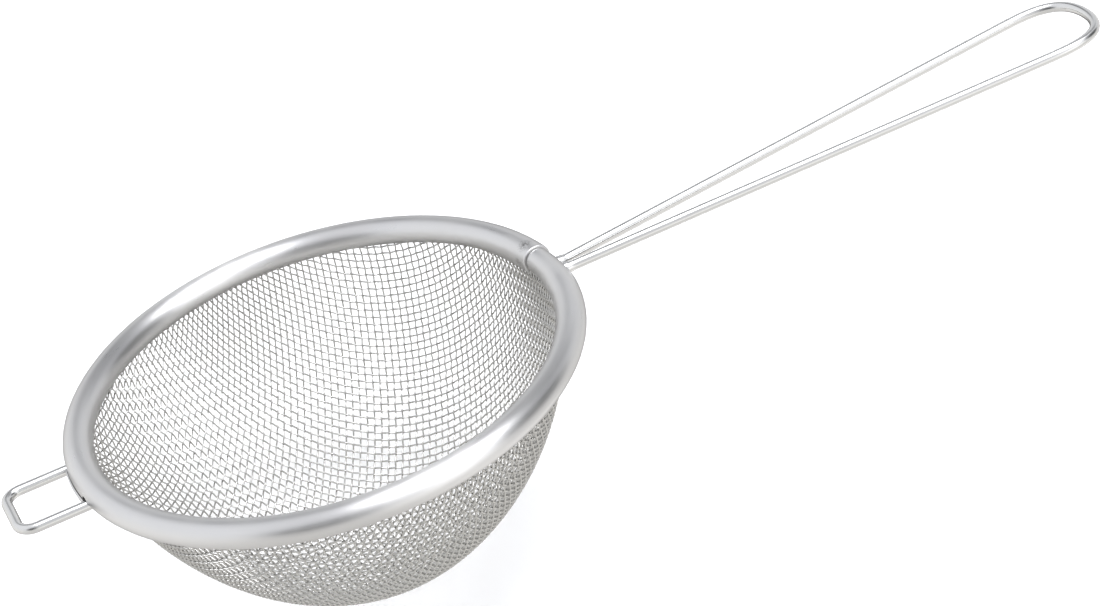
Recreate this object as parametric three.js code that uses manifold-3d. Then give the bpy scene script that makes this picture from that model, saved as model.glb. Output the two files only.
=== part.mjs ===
// Tea strainer: a pressed wire-cloth bowl held in a rolled steel rim, with a looped
// wire handle on one side and a bent wire rest on the other.
//
// Millimetres. +Z is up along the bowl's axis and +X points along the handle.
// The origin is the middle of the small flat at the bottom of the bowl.

import * as THREE from "three";
import { mergeVertices } from "three/addons/utils/BufferGeometryUtils.js";
import Module from "manifold-3d";

// ---- driving dimensions ----

const RIM_OUTER_DIAMETER = 80;
const BEAD_WIDTH = 4.6;
const BEAD_HEIGHT = 4.2;
const BAND_THICKNESS = 0.5;
const BAND_INNER_EDGE_ANGLE = 178;
const BAND_OUTER_EDGE_ANGLE = -118;
const SEAM_ANGLE = 7;
const SEAM_WIDTH = 0.3;

const BOWL_MOUTH_RADIUS = 36.27;
const BOWL_DEPTH = 35.1;
const BOWL_TAPER = 0.06;
const BOWL_ROUNDNESS = 1.61;
const BOWL_FLAT_RADIUS = 4;
const CLOTH_THICKNESS = 0.5;
const CLOTH_HEM = 0.6;

const RIM_ABOVE_MOUTH = 1.1;

const WIRE_DIAMETER = 1.6;
const WIRE_HOLE_CLEARANCE = 0.3;

const HANDLE_REACH = 132.6;
const HANDLE_STRAIGHT_END = 121.9;
const HANDLE_ROOT_HALF_GAP = 0.95;
const HANDLE_END_HALF_GAP = 7.1;
const HANDLE_RISE_ANGLE = 2;
const HANDLE_BELOW_RIM = 0.15;

const REST_REACH = 49.6;
const REST_HALF_WIDTH = 5.55;
const REST_CORNER_RADIUS = 2.5;
const REST_RISE_ANGLE = 1;
const REST_BELOW_RIM = 1.06;

const ROUND_SEGMENTS = 64;
const BAND_SEGMENTS = 14;
const BOWL_RINGS = 12;
const WIRE_SIDES = 8;
const HANDLE_STEPS = 96;
const REST_STEPS = 48;

// ---- worked-out dimensions ----

const radians = THREE.MathUtils.degToRad;
const beadRadius = (RIM_OUTER_DIAMETER - BEAD_WIDTH) / 2;
const rimHeight = BOWL_DEPTH + RIM_ABOVE_MOUTH;
const wireRadius = WIRE_DIAMETER / 2;
const holeRadius = wireRadius + WIRE_HOLE_CLEARANCE;
const wireEndRadius = beadRadius - 0.6;

// ---- solids and cuts ----

const wasm = await Module();
wasm.setup();

function toManifold(geometry) {
  const bare = geometry.clone();
  bare.deleteAttribute("normal");
  bare.deleteAttribute("uv");
  const merged = mergeVertices(bare, 1e-4);
  const mesh = new wasm.Mesh({
    numProp: 3,
    vertProperties: new Float32Array(merged.attributes.position.array),
    triVerts: new Uint32Array(merged.index.array),
  });
  return new wasm.Manifold(mesh);
}

function toGeometry(manifold) {
  const mesh = manifold.getMesh();
  const geometry = new THREE.BufferGeometry();
  geometry.setAttribute("position", new THREE.BufferAttribute(mesh.vertProperties, 3));
  geometry.setIndex(new THREE.BufferAttribute(mesh.triVerts, 1));
  geometry.computeVertexNormals();
  return geometry;
}

// A profile of (radius, height) points, turned about +Z.
function turned(profile) {
  const geometry = new THREE.LatheGeometry(profile, ROUND_SEGMENTS);
  return geometry.rotateX(Math.PI / 2);
}

// ---- rim band ----

// A point of the rolled bead's section, inset from its outer face.
function beadPoint(angle, inset) {
  const halfWidth = BEAD_WIDTH / 2 - inset;
  const halfHeight = BEAD_HEIGHT / 2 - inset;
  return new THREE.Vector2(
    beadRadius + halfWidth * Math.cos(angle),
    rimHeight + halfHeight * Math.sin(angle),
  );
}

// The band's section: an open C, from the edge inside the mouth, over the top and
// down the outside, to the edge under the bead, where the cloth goes in.
function bandProfile() {
  const first = radians(BAND_INNER_EDGE_ANGLE);
  const last = radians(BAND_OUTER_EDGE_ANGLE);
  const outerFace = [];
  const innerFace = [];
  for (let i = 0; i <= BAND_SEGMENTS; i += 1) {
    const angle = THREE.MathUtils.lerp(first, last, i / BAND_SEGMENTS);
    outerFace.push(beadPoint(angle, 0));
    innerFace.push(beadPoint(angle, BAND_THICKNESS));
  }
  // Against the clock round the section, so that the turned faces point out.
  return [...innerFace, ...outerFace.reverse(), innerFace[0].clone()];
}

// The round hole that a leg of wire goes through, along X at the given height.
function wireHole(side, y, z) {
  const length = 2 * BEAD_WIDTH;
  const hole = new THREE.CylinderGeometry(holeRadius, holeRadius, length, 2 * WIRE_SIDES);
  hole.rotateZ(Math.PI / 2);
  hole.translate(side * (wireEndRadius + length / 2 - WIRE_HOLE_CLEARANCE), y, z);
  return toManifold(hole);
}

function rimBandGeometry() {
  let band = toManifold(turned(bandProfile()));
  for (const sign of [-1, 1]) {
    const handleHeight = rimHeight - HANDLE_BELOW_RIM;
    const restHeight = rimHeight - REST_BELOW_RIM;
    band = band.subtract(wireHole(1, sign * HANDLE_ROOT_HALF_GAP, handleHeight));
    band = band.subtract(wireHole(-1, sign * REST_HALF_WIDTH, restHeight));
  }
  const seam = new THREE.BoxGeometry(2 * BEAD_WIDTH, SEAM_WIDTH, 2 * BEAD_HEIGHT);
  seam.translate(beadRadius, 0, rimHeight);
  seam.rotateZ(radians(SEAM_ANGLE));
  return toGeometry(band.subtract(toManifold(seam)));
}

// ---- wire-cloth bowl ----

// Radius of the bowl at a part of its depth, from 0 at the mouth to 1 at the bottom.
function bowlRadius(depthPart, mouthRadius) {
  const taper = 1 - BOWL_TAPER * depthPart;
  return mouthRadius * taper * Math.sqrt(1 - depthPart ** BOWL_ROUNDNESS);
}

// One face of the cloth from its hem down to the edge of the flat, then to the axis.
function bowlFace(inset) {
  const mouthRadius = BOWL_MOUTH_RADIUS - inset;
  const depth = BOWL_DEPTH - inset;
  const flatRadius = BOWL_FLAT_RADIUS - inset;
  const face = [new THREE.Vector2(mouthRadius, BOWL_DEPTH + CLOTH_HEM)];
  for (let i = 0; i < BOWL_RINGS; i += 1) {
    const depthPart = Math.sin((i / BOWL_RINGS) * (Math.PI / 2));
    const radius = bowlRadius(depthPart, mouthRadius);
    face.push(new THREE.Vector2(radius, BOWL_DEPTH - depth * depthPart));
  }
  face.push(new THREE.Vector2(flatRadius, inset));
  face.push(new THREE.Vector2(0, inset));
  return face;
}

function bowlGeometry() {
  const outside = bowlFace(0);
  const inside = bowlFace(CLOTH_THICKNESS);
  return turned([...outside.reverse(), ...inside]);
}

// ---- bent wires ----

// A flat path lifted to the height that heightAt gives for each X.
class LiftedPath extends THREE.Curve {
  constructor(path, heightAt) {
    super();
    this.path = path;
    this.heightAt = heightAt;
  }

  getPoint(t, target = new THREE.Vector3()) {
    const point = this.path.getPointAt(t);
    return target.set(point.x, point.y, this.heightAt(point.x));
  }
}

function wireGeometry(path, heightAt, steps) {
  const section = new THREE.Shape();
  for (let i = 0; i < WIRE_SIDES; i += 1) {
    const angle = (i / WIRE_SIDES) * 2 * Math.PI;
    const x = wireRadius * Math.cos(angle);
    const y = wireRadius * Math.sin(angle);
    if (i === 0) {
      section.moveTo(x, y);
    } else {
      section.lineTo(x, y);
    }
  }
  section.closePath();
  const extrudePath = new LiftedPath(path, heightAt);
  return new THREE.ExtrudeGeometry(section, { steps, extrudePath });
}

// Two nearly straight legs that spread from the rim to a rounded end.
function handlePath() {
  const endLength = HANDLE_REACH - HANDLE_STRAIGHT_END;
  const spread = HANDLE_END_HALF_GAP - HANDLE_ROOT_HALF_GAP;
  const slope = spread / (HANDLE_STRAIGHT_END - beadRadius);
  const shoulderX = HANDLE_STRAIGHT_END + endLength / 2;
  const shoulderY = HANDLE_END_HALF_GAP + (slope * endLength) / 2;
  const path = new THREE.Path();
  path.moveTo(wireEndRadius, HANDLE_ROOT_HALF_GAP);
  path.lineTo(HANDLE_STRAIGHT_END, HANDLE_END_HALF_GAP);
  path.bezierCurveTo(shoulderX, shoulderY, HANDLE_REACH, HANDLE_END_HALF_GAP, HANDLE_REACH, 0);
  path.bezierCurveTo(
    HANDLE_REACH,
    -HANDLE_END_HALF_GAP,
    shoulderX,
    -shoulderY,
    HANDLE_STRAIGHT_END,
    -HANDLE_END_HALF_GAP,
  );
  path.lineTo(wireEndRadius, -HANDLE_ROOT_HALF_GAP);
  return path;
}

function handleHeight(x) {
  const rise = (x - beadRadius) * Math.tan(radians(HANDLE_RISE_ANGLE));
  return rimHeight - HANDLE_BELOW_RIM + rise;
}

// A square-cornered U with rounded bends, opposite the handle.
function restPath() {
  const bendX = -(REST_REACH - REST_CORNER_RADIUS);
  const bendY = REST_HALF_WIDTH - REST_CORNER_RADIUS;
  const path = new THREE.Path();
  path.moveTo(-wireEndRadius, REST_HALF_WIDTH);
  path.lineTo(bendX, REST_HALF_WIDTH);
  path.absarc(bendX, bendY, REST_CORNER_RADIUS, Math.PI / 2, Math.PI, false);
  path.lineTo(-REST_REACH, -bendY);
  path.absarc(bendX, -bendY, REST_CORNER_RADIUS, Math.PI, (3 * Math.PI) / 2, false);
  path.lineTo(-wireEndRadius, -REST_HALF_WIDTH);
  return path;
}

function restHeight(x) {
  const rise = (-x - beadRadius) * Math.tan(radians(REST_RISE_ANGLE));
  return rimHeight - REST_BELOW_RIM + rise;
}

// ---- the assembly ----

function steel(color, roughness) {
  return new THREE.MeshStandardMaterial({ color, roughness, metalness: 1 });
}

function piece(name, geometry, material) {
  const mesh = new THREE.Mesh(geometry, material);
  mesh.name = name;
  return mesh;
}

const strainer = new THREE.Group();
strainer.name = "tea_strainer";
strainer.add(
  piece("rim_band", rimBandGeometry(), steel(0xc8c9c9, 0.38)),
  piece("mesh_bowl", bowlGeometry(), steel(0xc9c6c0, 0.3)),
  piece(
    "handle_wire",
    wireGeometry(handlePath(), handleHeight, HANDLE_STEPS),
    steel(0xdcdcdc, 0.15),
  ),
  piece("rest_wire", wireGeometry(restPath(), restHeight, REST_STEPS), steel(0xdcdcdc, 0.18)),
);

export default strainer;
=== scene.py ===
import math

import bpy
import numpy as np
from mathutils import Matrix, Vector


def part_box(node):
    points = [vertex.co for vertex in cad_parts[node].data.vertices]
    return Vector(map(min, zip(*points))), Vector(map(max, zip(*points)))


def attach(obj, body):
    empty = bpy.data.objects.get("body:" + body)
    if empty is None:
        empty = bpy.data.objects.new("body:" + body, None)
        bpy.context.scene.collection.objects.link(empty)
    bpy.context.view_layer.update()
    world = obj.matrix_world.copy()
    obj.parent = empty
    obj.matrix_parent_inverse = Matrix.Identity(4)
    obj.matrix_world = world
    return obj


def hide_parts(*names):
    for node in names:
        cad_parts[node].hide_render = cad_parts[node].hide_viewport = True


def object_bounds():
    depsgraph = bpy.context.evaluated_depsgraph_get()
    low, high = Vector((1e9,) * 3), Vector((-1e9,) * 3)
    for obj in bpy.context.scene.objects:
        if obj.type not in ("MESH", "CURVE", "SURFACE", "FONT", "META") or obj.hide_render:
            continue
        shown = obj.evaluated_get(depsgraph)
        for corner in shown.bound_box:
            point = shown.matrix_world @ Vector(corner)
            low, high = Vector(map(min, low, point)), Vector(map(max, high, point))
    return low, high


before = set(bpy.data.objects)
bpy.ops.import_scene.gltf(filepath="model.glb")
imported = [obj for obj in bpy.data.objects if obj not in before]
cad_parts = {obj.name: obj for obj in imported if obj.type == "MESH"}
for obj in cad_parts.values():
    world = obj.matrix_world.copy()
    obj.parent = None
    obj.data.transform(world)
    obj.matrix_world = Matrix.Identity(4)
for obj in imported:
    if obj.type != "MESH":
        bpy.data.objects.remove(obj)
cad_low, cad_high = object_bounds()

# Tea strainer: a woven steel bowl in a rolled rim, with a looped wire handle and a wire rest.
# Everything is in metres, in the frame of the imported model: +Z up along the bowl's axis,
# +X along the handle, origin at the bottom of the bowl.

MM = 0.001

# ---- sizes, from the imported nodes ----

rim_low, rim_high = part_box("rim_band")
bowl_low, bowl_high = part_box("mesh_bowl")
handle_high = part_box("handle_wire")[1]
rest_low, rest_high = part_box("rest_wire")

BEAD_WIDTH = 4.6 * MM
BAND_THICKNESS = 0.34 * MM
WIRE_RADIUS = 0.8 * MM
REST_BELOW_RIM = 1.06 * MM
bead_height = rim_high.z - rim_low.z
rim_height = (rim_high.z + rim_low.z) / 2
bead_radius = (rim_high.y - rim_low.y - BEAD_WIDTH) / 2

# ---- mesh building ----


def mesh_object(name, points, faces, material, slot, *nodes):
    """A smooth-shaded piece that rides on the root body and replaces CAD nodes."""
    mesh = bpy.data.meshes.new(name)
    mesh.from_pydata(points, [], faces)
    mesh.validate()
    mesh.shade_smooth()
    mesh.materials.append(material)
    piece = bpy.data.objects.new(name, mesh)
    bpy.context.scene.collection.objects.link(piece)
    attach(piece, "root")
    if nodes:
        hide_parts(*nodes)
    return piece


def tube_faces(rings, sides, first=0):
    """Quads of an open tube of rings, with a flat cap at each end."""
    ring = np.arange(rings - 1)[:, None] * sides
    side = np.arange(sides)[None, :]
    after = (side + 1) % sides
    quads = np.stack(
        [ring + side, ring + after, ring + sides + after, ring + sides + side], axis=-1
    )
    faces = (quads.reshape(-1, 4) + first).tolist()
    faces.append([first + i for i in range(sides - 1, -1, -1)])
    faces.append([first + (rings - 1) * sides + i for i in range(sides)])
    return faces


def unit(vectors):
    """Vectors scaled to length 1."""
    return vectors / np.linalg.norm(vectors, axis=-1, keepdims=True)


def tube_points(path, up, radius, sides):
    """Rings of points round a path, each square to it and turned towards up."""
    along = unit(np.gradient(path, axis=0))
    across = unit(np.cross(up, along))
    lifted = np.cross(along, across)
    angle = np.arange(sides) / sides * 2 * math.pi
    radius = np.broadcast_to(radius, (len(path),))[:, None, None]
    ring = np.cos(angle)[:, None] * across[:, None] + np.sin(angle)[:, None] * lifted[:, None]
    return (path[:, None] + radius * ring).reshape(-1, 3)


# ---- materials ----


class Nodes:
    """Adds and links shader nodes of one material."""

    def __init__(self, name):
        self.material = bpy.data.materials.new(name)
        self.material.use_nodes = True
        self.tree = self.material.node_tree
        self.shader = self.tree.nodes["Principled BSDF"]
        self.shader.inputs["Metallic"].default_value = 1.0

    def add(self, kind, **values):
        node = self.tree.nodes.new(kind)
        for name, value in values.items():
            setattr(node, name, value)
        return node

    def link(self, output, socket):
        self.tree.links.new(output, socket)

    def math(self, operation, first, second=None):
        node = self.add("ShaderNodeMath", operation=operation)
        for socket, value in zip(node.inputs, (first, second)):
            if isinstance(value, (int, float)):
                socket.default_value = value
            elif value is not None:
                self.link(value, socket)
        return node.outputs[0]

    def position(self):
        return self.add("ShaderNodeTexCoord").outputs["Object"]

    def noise(self, vector, scale, detail=3.0, roughness=0.55):
        node = self.add("ShaderNodeTexNoise")
        node.inputs["Scale"].default_value = scale
        node.inputs["Detail"].default_value = detail
        node.inputs["Roughness"].default_value = roughness
        self.link(vector, node.inputs["Vector"])
        return node.outputs["Fac"]

    def spread(self, value, low, high, source=(0.3, 0.7)):
        node = self.add("ShaderNodeMapRange")
        node.inputs["From Min"].default_value = source[0]
        node.inputs["From Max"].default_value = source[1]
        node.inputs["To Min"].default_value = low
        node.inputs["To Max"].default_value = high
        self.link(value, node.inputs["Value"])
        return node.outputs["Result"]

    def colours(self, value, low, high):
        node = self.add("ShaderNodeMix", data_type="RGBA")
        node.inputs[6].default_value = (*low, 1)
        node.inputs[7].default_value = (*high, 1)
        self.link(value, node.inputs["Factor"])
        return node.outputs[2]

    def near(self, place, radius):
        """1 at a place on the object, falling to 0 at radius from it."""
        node = self.add("ShaderNodeVectorMath", operation="DISTANCE")
        self.link(self.position(), node.inputs[0])
        node.inputs[1].default_value = place
        return self.spread(node.outputs["Value"], 1, 0, source=(0, radius))

    def bump(self, height, distance, strength=1.0):
        node = self.add("ShaderNodeBump")
        node.inputs["Distance"].default_value = distance
        node.inputs["Strength"].default_value = strength
        self.link(height, node.inputs["Height"])
        self.link(node.outputs["Normal"], self.shader.inputs["Normal"])


# Marks of the spot welds beside the seam: where, radius, and how dark they are.
WELD_MARKS = (
    ((36.6 * MM, 6.45 * MM, rim_height + 2.0 * MM), 1.5 * MM, 0.9),
    ((34.9 * MM, 6.3 * MM, rim_height - 0.2 * MM), 0.9 * MM, 0.8),
)
WELD_STAIN = (0.16, 0.155, 0.15)
# How far the drawn lines are stretched round the rim: metres of noise for each radian.
LINE_STRETCH = 0.0012


def rim_steel():
    """Satin steel strip, drawn round the rim, with soft roller marks."""
    nodes = Nodes("rim_steel")
    split = nodes.add("ShaderNodeSeparateXYZ")
    nodes.link(nodes.position(), split.inputs[0])
    x, y, z = split.outputs
    squared = nodes.math("ADD", nodes.math("MULTIPLY", x, x), nodes.math("MULTIPLY", y, y))
    radius = nodes.math("SQRT", squared)
    turn = nodes.math("MULTIPLY", nodes.math("ARCTAN2", y, x), LINE_STRETCH)
    drawn = nodes.add("ShaderNodeCombineXYZ")
    for value, socket in zip((radius, z, turn), drawn.inputs):
        nodes.link(value, socket)
    lines = nodes.noise(drawn.outputs[0], 5200, detail=4)
    cloud = nodes.noise(nodes.position(), 160, detail=2)
    colour = nodes.colours(cloud, (0.59, 0.59, 0.595), (0.665, 0.66, 0.652))
    speckle = nodes.noise(nodes.position(), 3600, detail=2)
    for place, size, contrast in WELD_MARKS:
        marked = nodes.spread(speckle, 0, contrast, source=(0.42, 0.58))
        shade = nodes.add("ShaderNodeMix", data_type="RGBA")
        nodes.link(nodes.math("MULTIPLY", marked, nodes.near(place, size)), shade.inputs["Factor"])
        nodes.link(colour, shade.inputs[6])
        shade.inputs[7].default_value = (*WELD_STAIN, 1)
        colour = shade.outputs[2]
    nodes.link(colour, nodes.shader.inputs["Base Color"])
    rough = nodes.math("ADD", nodes.spread(lines, -0.03, 0.03), nodes.spread(cloud, 0.29, 0.35))
    nodes.link(rough, nodes.shader.inputs["Roughness"])
    nodes.shader.inputs["Anisotropic"].default_value = 0.88
    nodes.shader.inputs["Anisotropic Rotation"].default_value = 0.25
    around = nodes.add("ShaderNodeTangent", direction_type="RADIAL", axis="Z")
    nodes.link(around.outputs[0], nodes.shader.inputs["Tangent"])
    nodes.bump(lines, 0.003 * MM)
    return nodes.material


def wire_steel():
    """Bright drawn wire with fine lines along it."""
    nodes = Nodes("wire_steel")
    stretch = nodes.add("ShaderNodeMapping")
    stretch.inputs["Scale"].default_value = (0.05, 1, 1)
    nodes.link(nodes.position(), stretch.inputs["Vector"])
    lines = nodes.noise(stretch.outputs[0], 6000, detail=3)
    cloud = nodes.noise(nodes.position(), 220, detail=2)
    nodes.link(
        nodes.colours(cloud, (0.58, 0.58, 0.58), (0.65, 0.65, 0.64)),
        nodes.shader.inputs["Base Color"],
    )
    nodes.link(nodes.spread(cloud, 0.17, 0.24), nodes.shader.inputs["Roughness"])
    nodes.bump(lines, 0.002 * MM)
    return nodes.material


def cloth_steel():
    """Fine bright wire of the woven bowl."""
    nodes = Nodes("cloth_steel")
    cloud = nodes.noise(nodes.position(), 500, detail=2)
    nodes.link(
        nodes.colours(cloud, (0.505, 0.50, 0.485), (0.555, 0.55, 0.535)),
        nodes.shader.inputs["Base Color"],
    )
    nodes.link(nodes.spread(cloud, 0.22, 0.34), nodes.shader.inputs["Roughness"])
    nodes.bump(nodes.noise(nodes.position(), 7000), 0.002 * MM)
    return nodes.material


# ---- rim ----

RIM_STEPS = 600
SECTION_STEPS = 36
EDGE_STEPS = 4
SEAM_ANGLE = math.radians(7)
SEAM_OVERLAP = math.radians(3)
SEAM_TUCK = 0.36 * MM
SEAM_RAMP = math.radians(16)
SEAM_ROUND = 0.26 * MM
SEAM_ROUND_STEPS = 6
INNER_EDGE = math.radians(229)
OUTER_EDGE = math.radians(-118)
SKIRT_SPREAD = math.radians(24)
SKIRT_DEPTH = 0.6
SKIRT_SECTION = math.radians(30)
LIP_OUT = 0.20 * MM
LIP_THICKNESS = 0.22 * MM
LIP_TOP = 0.42 * MM
LIP_BEVEL = 0.155 * MM
LIP_FOOT = 1.5 * MM
LIP_ROOT = 0.7 * MM
LIP_STEPS = 25
LEG_HOLE_CLEARANCE = 0.1 * MM
TORN_HOLE_RADIUS = 0.5 * MM
TORN_HOLE_TURN = math.radians(-125)
HOLE_SIDES = 24
# How far a hole's cutter reaches into the bead, as a part of the bead's half width.
HOLE_REACH = 0.6
SHARP_ANGLE = math.radians(42)


def smooth_step(value):
    """0 below 0, 1 above 1, with a smooth rise between."""
    value = np.clip(value, 0, 1)
    return value * value * (3 - 2 * value)


def band_section(tuck, rounded, skirt):
    """The strip's section as (outward, up) offsets from the middle of the bead.

    tuck draws it in all round, rounded thins it from outside and skirt deepens its
    inner edge.
    """

    def on_bead(angle, inset):
        inner_side = smooth_step((angle - math.pi) / SKIRT_SECTION)
        half_width = BEAD_WIDTH / 2 - tuck - inset
        half_height = (bead_height / 2 - tuck - inset) * (1 + skirt * inner_side)
        return np.stack([half_width * np.cos(angle), half_height * np.sin(angle)], axis=-1)

    turn = np.linspace(INNER_EDGE, OUTER_EDGE, SECTION_STEPS)
    outer = on_bead(turn, rounded)
    inner = on_bead(turn[::-1], BAND_THICKNESS)
    ends = []
    for face, back in ((outer[-1], inner[0]), (inner[-1], outer[0])):
        middle = (face + back) / 2
        half = (face - back) / 2
        out = np.array([half[1], -half[0]])
        swing = np.linspace(0, math.pi, EDGE_STEPS + 2)[1:-1, None]
        ends.append(middle + np.cos(swing) * half - np.sin(swing) * out)
    return np.concatenate([outer, ends[0], inner, ends[1]])


def cut(piece, cutters):
    """Cuts closed meshes out of a piece."""
    for tool in cutters:
        step = piece.modifiers.new("cut", "BOOLEAN")
        step.operation = "DIFFERENCE"
        step.object = tool
    shape = piece.evaluated_get(bpy.context.evaluated_depsgraph_get())
    piece.data = bpy.data.meshes.new_from_object(shape)
    piece.modifiers.clear()
    for tool in cutters:
        bpy.data.objects.remove(tool)
    piece.data.set_sharp_from_angle(angle=SHARP_ANGLE)


def cutter(points, faces):
    """A closed mesh to cut with, which is removed again after the cut."""
    mesh = bpy.data.meshes.new("cutter")
    mesh.from_pydata(points, [], faces)
    made = bpy.data.objects.new("cutter", mesh)
    bpy.context.scene.collection.objects.link(made)
    return made


def bored(y, z, radius, turn=math.pi):
    """A cutter for a round hole in the strip's outer wall, level, and towards turn."""
    wall = math.sqrt((bead_radius + BEAD_WIDTH / 2) ** 2 - y**2)
    way = BEAD_WIDTH / 2 * np.array([math.cos(turn), math.sin(turn), 0.0])
    middle = np.array([-wall, y, z])
    path = np.stack([middle + way, middle - HOLE_REACH * way])
    up = np.broadcast_to([0.0, 0.0, 1.0], path.shape)
    points = tube_points(path, up, radius, HOLE_SIDES)
    return cutter(points.tolist(), tube_faces(len(path), HOLE_SIDES))


def lip_shape(first):
    """The strip's free lip, which stands just off the bead between the rest's legs."""
    half_turn = math.asin((rest_high.y - 2 * WIRE_RADIUS) / rim_high.y)
    inside = bead_radius + BEAD_WIDTH / 2 + LIP_OUT - LIP_THICKNESS / 2
    outside = inside + LIP_THICKNESS
    root = bead_radius + BEAD_WIDTH / 2 - LIP_ROOT
    shoulder = -(LIP_TOP + LIP_FOOT) / 2
    section = [
        (root, -LIP_FOOT),
        (inside, shoulder),
        (inside, -LIP_TOP),
        (outside, -LIP_TOP - LIP_BEVEL),
        (outside, shoulder),
        (root + LIP_THICKNESS, -LIP_FOOT),
    ]
    points = [
        (radius * math.cos(angle), radius * math.sin(angle), rim_height + height)
        for angle in np.linspace(math.pi - half_turn, math.pi + half_turn, LIP_STEPS)
        for radius, height in section
    ]
    return points, tube_faces(LIP_STEPS, len(section), first)


def rim_piece(material):
    """The rolled strip, from its top end at the seam round to the end tucked under it."""
    round_turn = SEAM_ROUND / bead_radius
    end_round = np.linspace(0, round_turn, SEAM_ROUND_STEPS + 1)[:-1]
    around = np.linspace(round_turn, 2 * math.pi + SEAM_OVERLAP, RIM_STEPS)
    rings = []
    for angle in SEAM_ANGLE + np.concatenate([end_round, around]):
        tucked = smooth_step((angle - SEAM_ANGLE - 2 * math.pi + SEAM_RAMP) / SEAM_RAMP)
        from_end = min(1.0, (angle - SEAM_ANGLE) * bead_radius / SEAM_ROUND)
        rounded = SEAM_ROUND * (1 - math.sqrt(1 - (1 - from_end) ** 2))
        from_seam = abs(math.remainder(angle - SEAM_ANGLE, 2 * math.pi))
        skirt = SKIRT_DEPTH * smooth_step(1 - from_seam / SKIRT_SPREAD)
        section = band_section(SEAM_TUCK * tucked, rounded, skirt)
        radius = bead_radius + section[:, 0]
        rings.append(
            np.stack(
                [radius * math.cos(angle), radius * math.sin(angle), rim_height + section[:, 1]],
                axis=-1,
            )
        )
    points = np.concatenate(rings)
    faces = tube_faces(len(rings), len(rings[0]))
    lip_points, lip_faces = lip_shape(len(points))
    piece = mesh_object(
        "rim_bead",
        points.tolist() + lip_points,
        faces + lip_faces,
        material,
        "rim_steel",
        "rim_band",
    )
    leg_y = rest_high.y - WIRE_RADIUS
    leg_z = rim_height - REST_BELOW_RIM
    hole = WIRE_RADIUS + LEG_HOLE_CLEARANCE
    torn_z = leg_z + WIRE_RADIUS + TORN_HOLE_RADIUS / 2
    cutters = [bored(leg_y, leg_z, hole), bored(-leg_y, leg_z, hole)]
    cutters.append(bored(-leg_y, torn_z, TORN_HOLE_RADIUS, TORN_HOLE_TURN))
    cut(piece, cutters)
    return piece


# ---- handle and rest ----

WIRE_SIDES = 28
WIRE_SPACING = 0.35 * MM
WELD_THICKNESS = 0.22 * MM
WELD_LENGTH = 1.3 * MM
WIRE_END_RADIUS = bead_radius - 0.6 * MM
WELD_UNEVENNESS = 0.25
WELD_RIPPLE = 0.11 * MM

HANDLE_STRAIGHT_END = 121.9 * MM
HANDLE_ROOT_HALF_GAP = 0.95 * MM
HANDLE_RISE = math.tan(math.radians(2))
HANDLE_BELOW_RIM = 0.15 * MM
HANDLE_SHOULDER_BULGE = 0.13 * MM
REST_CORNER_RADIUS = 2.5 * MM
REST_RISE = math.tan(math.radians(1))
BEND_STEPS = 24


def bezier(start, first, second, end, count=60):
    """Points on a cubic curve, without its start."""
    t = np.linspace(0, 1, count)[1:, None]
    u = 1 - t
    return u**3 * start + 3 * u**2 * t * first + 3 * u * t**2 * second + t**3 * end


def even_steps(points, spacing):
    """A polyline resampled at even steps."""
    length = np.concatenate([[0], np.cumsum(np.linalg.norm(np.diff(points, axis=0), axis=1))])
    at = np.linspace(0, length[-1], round(length[-1] / spacing) + 1)
    return np.stack([np.interp(at, length, axis) for axis in points.T], axis=-1)


def there_and_back(half):
    """Half of an outline, from one end to the middle, and its mirror image back."""
    return np.concatenate([half, (half * [1, -1])[-2::-1]])


def handle_outline():
    """Two straight legs that spread from the rim to a rounded end."""
    reach = handle_high.x - WIRE_RADIUS
    half_gap = handle_high.y - WIRE_RADIUS - HANDLE_SHOULDER_BULGE
    start = np.array([WIRE_END_RADIUS, HANDLE_ROOT_HALF_GAP])
    shoulder = np.array([HANDLE_STRAIGHT_END, half_gap])
    slope = (half_gap - HANDLE_ROOT_HALF_GAP) / (HANDLE_STRAIGHT_END - bead_radius)
    run = (reach - HANDLE_STRAIGHT_END) / 2
    end = bezier(
        shoulder,
        shoulder + run * np.array([1, slope]),
        np.array([reach, half_gap]),
        np.array([reach, 0.0]),
    )
    return there_and_back(np.concatenate([[start, shoulder], end]))


def rest_outline():
    """A square-cornered U with rounded bends."""
    reach = rest_low.x + WIRE_RADIUS
    half_width = rest_high.y - WIRE_RADIUS
    corner = np.array([reach + REST_CORNER_RADIUS, half_width - REST_CORNER_RADIUS])
    turn = np.linspace(math.pi / 2, math.pi, BEND_STEPS)
    bend = corner + REST_CORNER_RADIUS * np.stack([np.cos(turn), np.sin(turn)], axis=-1)
    start = np.array([[-WIRE_END_RADIUS, half_width]])
    return there_and_back(np.concatenate([start, bend, [[reach, 0.0]]]))


def welded_radius(path):
    """The wire's radius, thickened by a slightly uneven weld where it leaves the rim."""
    from_rim = np.hypot(path[:, 0], path[:, 1]) - bead_radius - BEAD_WIDTH / 2
    fillet = np.clip(1 - from_rim / WELD_LENGTH, 0, 1) ** 2
    uneven = 1 + WELD_UNEVENNESS * np.sin(path[:, 0] / WELD_RIPPLE + np.sign(path[:, 1]))
    return WIRE_RADIUS + WELD_THICKNESS * fillet * uneven


def wire_piece(name, outline, drop, rise, material, node, welded=False):
    """A round wire along a flat outline that climbs away from the rim."""
    flat = even_steps(outline, WIRE_SPACING)
    height = rim_height - drop + (np.abs(flat[:, 0]) - bead_radius) * rise
    path = np.column_stack([flat, height])
    up = np.broadcast_to([0.0, 0.0, 1.0], path.shape)
    radius = welded_radius(path) if welded else WIRE_RADIUS
    points = tube_points(path, up, radius, WIRE_SIDES)
    faces = tube_faces(len(path), WIRE_SIDES)
    return mesh_object(name, points.tolist(), faces, material, "wire_steel", node)


# ---- woven bowl ----

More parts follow.
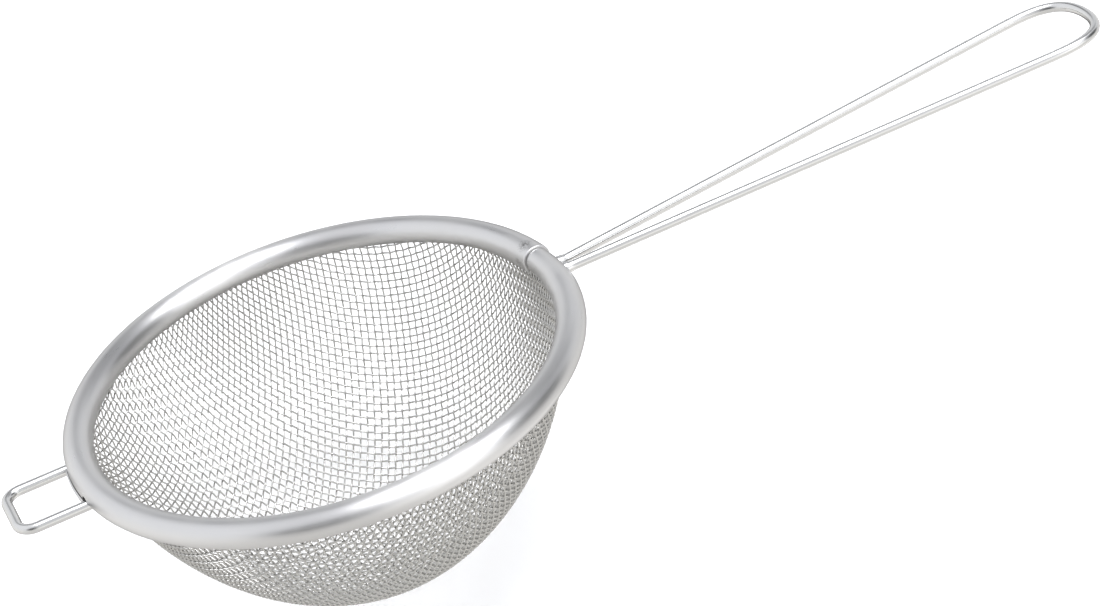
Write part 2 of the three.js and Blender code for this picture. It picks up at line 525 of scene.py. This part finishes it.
CLOTH_PITCH = 1.157 * MM
CLOTH_WIRE_RADIUS = 0.135 * MM
CLOTH_SIDES = 6
SAMPLES_PER_PITCH = 4
WEAVE_ANGLE = math.radians(56)
BOWL_TAPER = 0.06
BOWL_ROUNDNESS = 1.61
BOWL_SAMPLES = 8001
HEM_ABOVE_MOUTH = 1.7 * MM
MOUTH_BELOW_RIM = 1.1 * MM
NEWTON_STEPS = 10
HALVINGS = 40
NET_MARGIN = 1.3

cloth_half = 2 * CLOTH_WIRE_RADIUS
mouth_radius = (bowl_high.y - bowl_low.y) / 2 - cloth_half
mouth_height = rim_height - MOUTH_BELOW_RIM
bowl_depth = mouth_height - cloth_half


class Bowl:
    """The bowl's middle surface, addressed by distance along it from the bottom."""

    def __init__(self):
        depth_part = 1 - np.linspace(0, 1, BOWL_SAMPLES) ** 2
        taper = 1 - BOWL_TAPER * depth_part
        self.radius = mouth_radius * taper * np.sqrt(1 - depth_part**BOWL_ROUNDNESS)
        self.height = mouth_height - bowl_depth * depth_part
        step = np.hypot(np.diff(self.radius), np.diff(self.height))
        self.length = np.concatenate([[0], np.cumsum(step)])
        self.mouth = self.length[-1]
        self.end = self.mouth + HEM_ABOVE_MOUTH

    def point(self, spot):
        """The point at spot, a flat offset from the bottom whose length is the distance."""
        distance = np.hypot(spot[..., 0], spot[..., 1])
        radius = np.interp(distance, self.length, self.radius)
        height = np.interp(distance, self.length, self.height)
        height = height + np.maximum(0, distance - self.mouth)
        scale = radius / np.maximum(distance, 1e-12)
        return np.stack([spot[..., 0] * scale, spot[..., 1] * scale, height], axis=-1)

    def normal(self, spot):
        """The unit normal there, into the bowl."""
        small = 0.02 * MM
        along = self.point(spot + [small, 0]) - self.point(spot - [small, 0])
        across = self.point(spot + [0, small]) - self.point(spot - [0, small])
        return unit(np.cross(along, across))


def next_crossings(bowl, first, second, guess):
    """Spots one pitch away from two neighbours each, by Newton's method."""
    ends = np.stack([bowl.point(first), bowl.point(second)])
    small = 1e-4 * MM

    def misses(spot):
        return np.linalg.norm(bowl.point(spot) - ends, axis=-1) - CLOTH_PITCH

    spot = guess.copy()
    for _ in range(NEWTON_STEPS):
        now = misses(spot)
        by_x = (misses(spot + [small, 0]) - now) / small
        by_y = (misses(spot + [0, small]) - now) / small
        det = by_x[0] * by_y[1] - by_x[1] * by_y[0]
        det = np.where(np.abs(det) < 1e-6, 1e-6, det)
        move = np.stack(
            [
                (now[0] * by_y[1] - now[1] * by_y[0]) / det,
                (by_x[0] * now[1] - by_x[1] * now[0]) / det,
            ],
            axis=-1,
        )
        size = np.linalg.norm(move, axis=-1, keepdims=True)
        spot -= move * np.minimum(1, 0.5 * CLOTH_PITCH / np.maximum(size, 1e-12))
    return spot


def quarter_net(bowl, count):
    """Crossings of a cloth of constant pitch laid on one quarter of the bowl."""
    net = np.full((count + 1, count + 1, 2), np.nan)
    net[0, 0] = 0
    reached = 0.0
    for i in range(1, count + 1):
        before = bowl.point(np.array([reached, 0.0]))
        low = reached
        high = reached + 1.5 * CLOTH_PITCH
        for _ in range(HALVINGS):
            middle = (low + high) / 2
            if np.linalg.norm(bowl.point(np.array([middle, 0.0])) - before) < CLOTH_PITCH:
                low = middle
            else:
                high = middle
        reached = (low + high) / 2
        net[i, 0] = (reached, 0)
        net[0, i] = (0, reached)
    for diagonal in range(2, 2 * count + 1):
        i = np.arange(max(1, diagonal - count), min(count, diagonal - 1) + 1)
        j = diagonal - i
        guess = net[i - 1, j] + net[i, j - 1] - net[i - 1, j - 1]
        near = np.hypot(guess[:, 0], guess[:, 1]) < bowl.end + 3 * CLOTH_PITCH
        i = i[near]
        j = j[near]
        if len(i):
            net[i, j] = next_crossings(bowl, net[i - 1, j], net[i, j - 1], guess[near])
    return net


def whole_net(bowl):
    """The crossings of the whole cloth, turned to the weave's angle."""
    count = int(NET_MARGIN * bowl.end / CLOTH_PITCH)
    quarter = quarter_net(bowl, count)
    index = np.arange(-count, count + 1)
    net = quarter[np.abs(index)[:, None], np.abs(index)[None, :]]
    net = net * np.stack(np.meshgrid(np.sign(index), np.sign(index), indexing="ij"), axis=-1)
    cos = math.cos(WEAVE_ANGLE)
    sin = math.sin(WEAVE_ANGLE)
    return np.stack(
        [net[..., 0] * cos - net[..., 1] * sin, net[..., 0] * sin + net[..., 1] * cos], axis=-1
    )


def clip_wire(spots, signs, end):
    """The crossings of a wire that lie inside the hem, or None for a stub."""
    distance = np.hypot(spots[:, 0], spots[:, 1])
    inside = np.flatnonzero(distance < end)
    if len(inside) < 2:
        return None
    first = inside[0]
    last = inside[-1]
    return spots[first : last + 1], signs[first : last + 1]


def woven_path(bowl, spots, signs):
    """The middle line of a wire that passes over and under at its crossings."""
    count = len(spots)
    at = np.linspace(0, count - 1, (count - 1) * SAMPLES_PER_PITCH + 1)
    fine = np.stack([np.interp(at, np.arange(count), axis) for axis in spots.T], axis=-1)
    normal = bowl.normal(fine)
    lift = signs[0] * np.cos(np.pi * at) * CLOTH_WIRE_RADIUS
    return bowl.point(fine) + lift[:, None] * normal, normal


def cloth_piece(name, bowl, wires, material):
    """Several wires of the cloth as one mesh."""
    points = []
    faces = []
    total = 0
    for spots, signs in wires:
        path, normal = woven_path(bowl, spots, signs)
        ring = tube_points(path, normal, CLOTH_WIRE_RADIUS, CLOTH_SIDES)
        points.append(ring)
        faces.extend(tube_faces(len(path), CLOTH_SIDES, total))
        total += len(ring)
    return mesh_object(
        name, np.concatenate(points).tolist(), faces, material, "cloth_steel", "mesh_bowl"
    )


def cloth_pieces(material):
    """Warp and weft wires, each as the two halves of the bowl."""
    bowl = Bowl()
    net = whole_net(bowl)
    size = len(net)
    over = np.where(np.add.outer(np.arange(size), np.arange(size)) % 2 == 0, 1, -1)
    made = []
    for name, spots, signs in (("warp", net, over), ("weft", net.swapaxes(0, 1), -over.T)):
        wires = [clip_wire(s, g, bowl.end) for s, g in zip(spots, signs)]
        wires = [w for w in wires if w is not None]
        half = len(wires) // 2
        made.append(cloth_piece(f"cloth_{name}_a", bowl, wires[:half], material))
        made.append(cloth_piece(f"cloth_{name}_b", bowl, wires[half:], material))
    return made


# ---- studio ----

CAMERA_AZIMUTH = math.radians(-104.65)
CAMERA_ELEVATION = math.radians(31.73)
CAMERA_ROLL = math.radians(-16.29)
CAMERA_BACK = 435.3 * MM
CAMERA_RIGHT = 33.5 * MM
CAMERA_UP = 10.1 * MM
CAMERA_LENS = 96.5
FLOOR_HALF_WIDTH = 12.0
FLOOR_GAP = 0.2 * MM
KEY_PLACE = (0.24, -0.12, 0.88)
KEY_TARGET = (0, 0, 0.03)
KEY_SIZE = 0.5
KEY_POWER = 3


def studio_camera():
    """A long lens that looks down into the bowl, rolled so that the handle climbs."""
    back = Vector(
        (
            math.cos(CAMERA_ELEVATION) * math.cos(CAMERA_AZIMUTH),
            math.cos(CAMERA_ELEVATION) * math.sin(CAMERA_AZIMUTH),
            math.sin(CAMERA_ELEVATION),
        )
    )
    level = Vector((0, 0, 1)).cross(back).normalized()
    upright = back.cross(level)
    right = math.cos(CAMERA_ROLL) * level + math.sin(CAMERA_ROLL) * upright
    up = math.cos(CAMERA_ROLL) * upright - math.sin(CAMERA_ROLL) * level
    data = bpy.data.cameras.new("camera")
    data.sensor_width = 36
    data.lens = CAMERA_LENS
    data.clip_start = 0.01
    data.clip_end = 100
    camera = bpy.data.objects.new("camera", data)
    bpy.context.scene.collection.objects.link(camera)
    place = Vector((0, 0, rim_height)) + CAMERA_RIGHT * right + CAMERA_UP * up + CAMERA_BACK * back
    turn = Matrix((right, up, back)).transposed().to_4x4()
    camera.matrix_world = Matrix.Translation(place) @ turn
    bpy.context.scene.camera = camera


def key_light():
    """One large soft light above and to the right."""
    data = bpy.data.lights.new("key", "AREA")
    data.size = KEY_SIZE
    data.energy = KEY_POWER
    light = bpy.data.objects.new("key", data)
    bpy.context.scene.collection.objects.link(light)
    light.location = KEY_PLACE
    light.rotation_mode = "QUATERNION"
    way = Vector(KEY_TARGET) - Vector(KEY_PLACE)
    light.rotation_quaternion = way.to_track_quat("-Z", "Y")


def studio_floor():
    """A wide plain pale floor just under the bottom of the bowl."""
    mesh = bpy.data.meshes.new("floor")
    half = FLOOR_HALF_WIDTH
    corners = [(-half, -half, 0), (half, -half, 0), (half, half, 0), (-half, half, 0)]
    mesh.from_pydata(corners, [], [(0, 1, 2, 3)])
    floor = bpy.data.objects.new("floor", mesh)
    floor.location.z = cad_low.z - FLOOR_GAP
    bpy.context.scene.collection.objects.link(floor)
    material = bpy.data.materials.new("floor")
    material.use_nodes = True
    shader = material.node_tree.nodes["Principled BSDF"]
    shader.inputs["Base Color"].default_value = (0.92, 0.92, 0.92, 1)
    shader.inputs["Roughness"].default_value = 0.9
    shader.inputs["Specular IOR Level"].default_value = 0.1
    shader.inputs["Emission Color"].default_value = (1, 0.995, 0.985, 1)
    shader.inputs["Emission Strength"].default_value = 0.1
    mesh.materials.append(material)
    floor.visible_glossy = False


# Soft patches of the surroundings: azimuth, elevation and half-angle in degrees, then how
# much light each adds or what part of the light it takes away.
LIGHT_PATCHES = (
    (-22, 74, 22, 5.5),
    (-50, 42, 20, 1.2),
    (-58, 10, 22, 0.6),
    (-72, -12, 28, 0.40),
    (-10, -58, 34, 0.4),
    (160, 25, 75, 0.25),
)
DARK_PATCHES = (
    (-120, 22, 31, 0.80),
    (-15, 23, 30, 0.85),
    (37, 47, 21, 0.55),
    (82, 44, 19, 0.70),
    (80, -32, 44, 0.75),
    (74, -14, 25, 0.45),
)
PATCH_CORE = 0.25
SKY_COLOURS = (
    (-1.0, (0.94, 0.925, 0.90)),
    (-0.3, (1.02, 1.005, 0.985)),
    (0.1, (0.98, 0.98, 0.98)),
    (0.5, (0.93, 0.945, 0.98)),
    (1.0, (0.96, 0.97, 1.01)),
)


def studio_world():
    """Soft white surroundings with a bright patch overhead and a few dim ones."""
    world = bpy.data.worlds.new("studio")
    world.use_nodes = True
    bpy.context.scene.world = world
    tree = world.node_tree
    background = tree.nodes["Background"]
    direction = tree.nodes.new("ShaderNodeTexCoord").outputs["Generated"]
    split = tree.nodes.new("ShaderNodeSeparateXYZ")
    shift = tree.nodes.new("ShaderNodeMapRange")
    ramp = tree.nodes.new("ShaderNodeValToRGB")
    shift.inputs["From Min"].default_value = -1
    tree.links.new(direction, split.inputs[0])
    tree.links.new(split.outputs["Z"], shift.inputs["Value"])
    tree.links.new(shift.outputs["Result"], ramp.inputs["Fac"])
    stops = ramp.color_ramp.elements
    while len(stops) < len(SKY_COLOURS):
        stops.new(0.5)
    for stop, (height, colour) in zip(stops, SKY_COLOURS):
        stop.position = (height + 1) / 2
        stop.color = (*colour, 1)
    tree.links.new(ramp.outputs["Color"], background.inputs["Color"])

    def patch(azimuth, elevation, half_angle, at_middle):
        """at_middle in the middle of a patch, 1 outside it."""
        azimuth, elevation, half_angle = map(math.radians, (azimuth, elevation, half_angle))
        dot = tree.nodes.new("ShaderNodeVectorMath")
        dot.operation = "DOT_PRODUCT"
        dot.inputs[1].default_value = (
            math.cos(elevation) * math.cos(azimuth),
            math.cos(elevation) * math.sin(azimuth),
            math.sin(elevation),
        )
        tree.links.new(direction, dot.inputs[0])
        fade = tree.nodes.new("ShaderNodeMapRange")
        fade.interpolation_type = "SMOOTHSTEP"
        fade.inputs["From Min"].default_value = math.cos(half_angle)
        fade.inputs["From Max"].default_value = math.cos(half_angle * PATCH_CORE)
        fade.inputs["To Min"].default_value = 1
        fade.inputs["To Max"].default_value = at_middle
        tree.links.new(dot.outputs["Value"], fade.inputs["Value"])
        return fade.outputs["Result"]

    strength = None
    patches = [(*place, 1 + added) for *place, added in LIGHT_PATCHES]
    patches += [(*place, 1 - taken) for *place, taken in DARK_PATCHES]
    for values in patches:
        factor = patch(*values)
        if strength is None:
            strength = factor
            continue
        product = tree.nodes.new("ShaderNodeMath")
        product.operation = "MULTIPLY"
        tree.links.new(strength, product.inputs[0])
        tree.links.new(factor, product.inputs[1])
        strength = product.outputs[0]
    tree.links.new(strength, background.inputs["Strength"])


def studio():
    studio_camera()
    studio_floor()
    studio_world()
    key_light()
    bpy.context.scene.view_settings.view_transform = "Standard"


studio()
steel_rim = rim_steel()
steel_wire = wire_steel()
steel_cloth = cloth_steel()
rim_piece(steel_rim)
wire_piece(
    "handle_loop",
    handle_outline(),
    HANDLE_BELOW_RIM,
    HANDLE_RISE,
    steel_wire,
    "handle_wire",
    welded=True,
)
wire_piece("rest_loop", rest_outline(), REST_BELOW_RIM, REST_RISE, steel_wire, "rest_wire")
cloth_pieces(steel_cloth)
